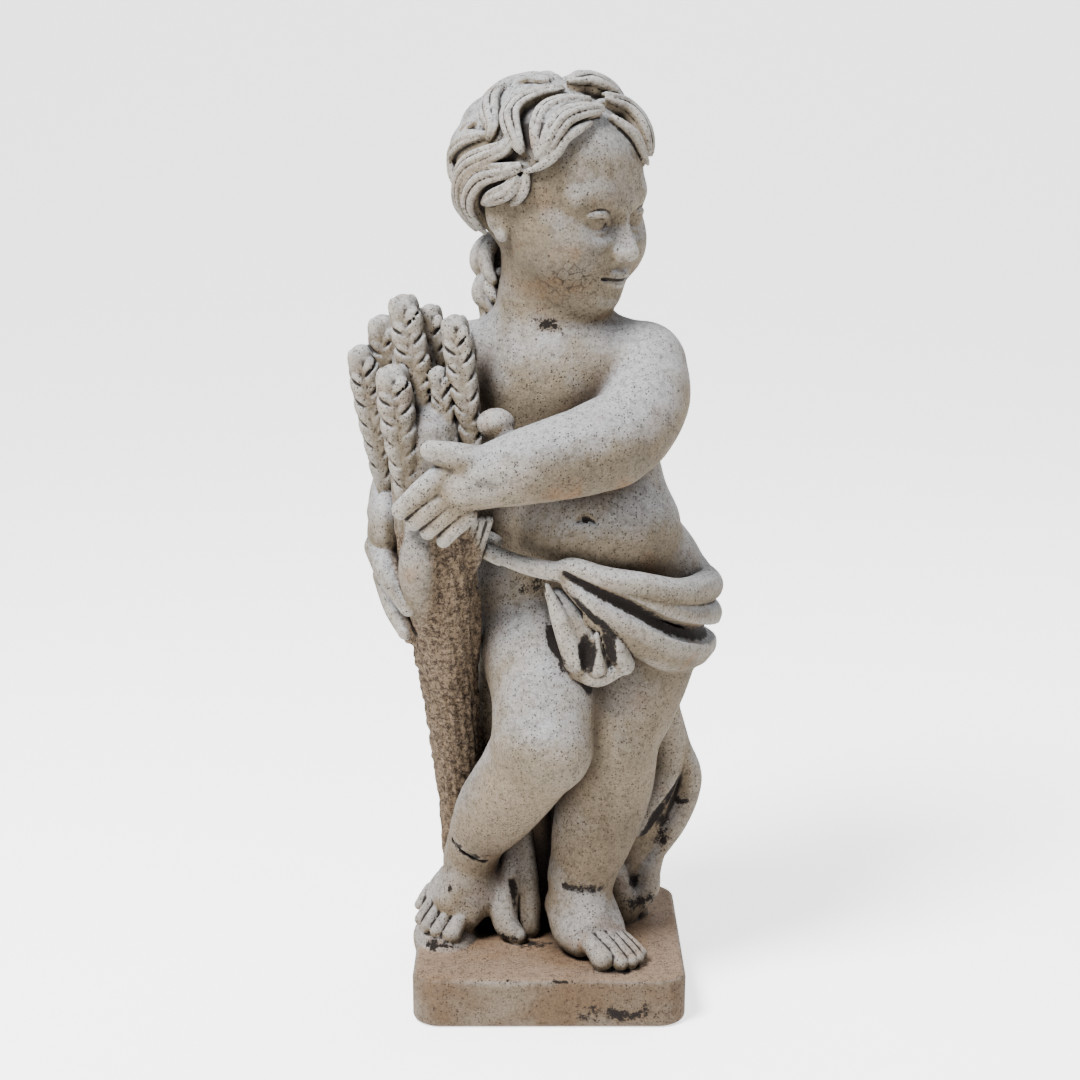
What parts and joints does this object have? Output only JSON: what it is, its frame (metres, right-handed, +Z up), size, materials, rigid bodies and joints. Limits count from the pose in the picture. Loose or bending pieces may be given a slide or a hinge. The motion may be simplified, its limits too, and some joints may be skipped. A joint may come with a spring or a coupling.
{
  "type": "stone putto statue",
  "caption": "Cast-stone garden statue of a child with a sheaf of wheat and a hip cloth, standing on a square plinth with rounded corners.",
  "frame": {"origin": "centre of the plinth's flat underside", "axes": "+Z up, the statue's front faces -Y, +X is the viewer's right"},
  "size_m": [0.2597, 0.2031, 0.6486],
  "materials": {
    "stone": null
  },
  "bodies": {
    "root": {"putto_statue": "stone"}
  },
  "joints": []
}
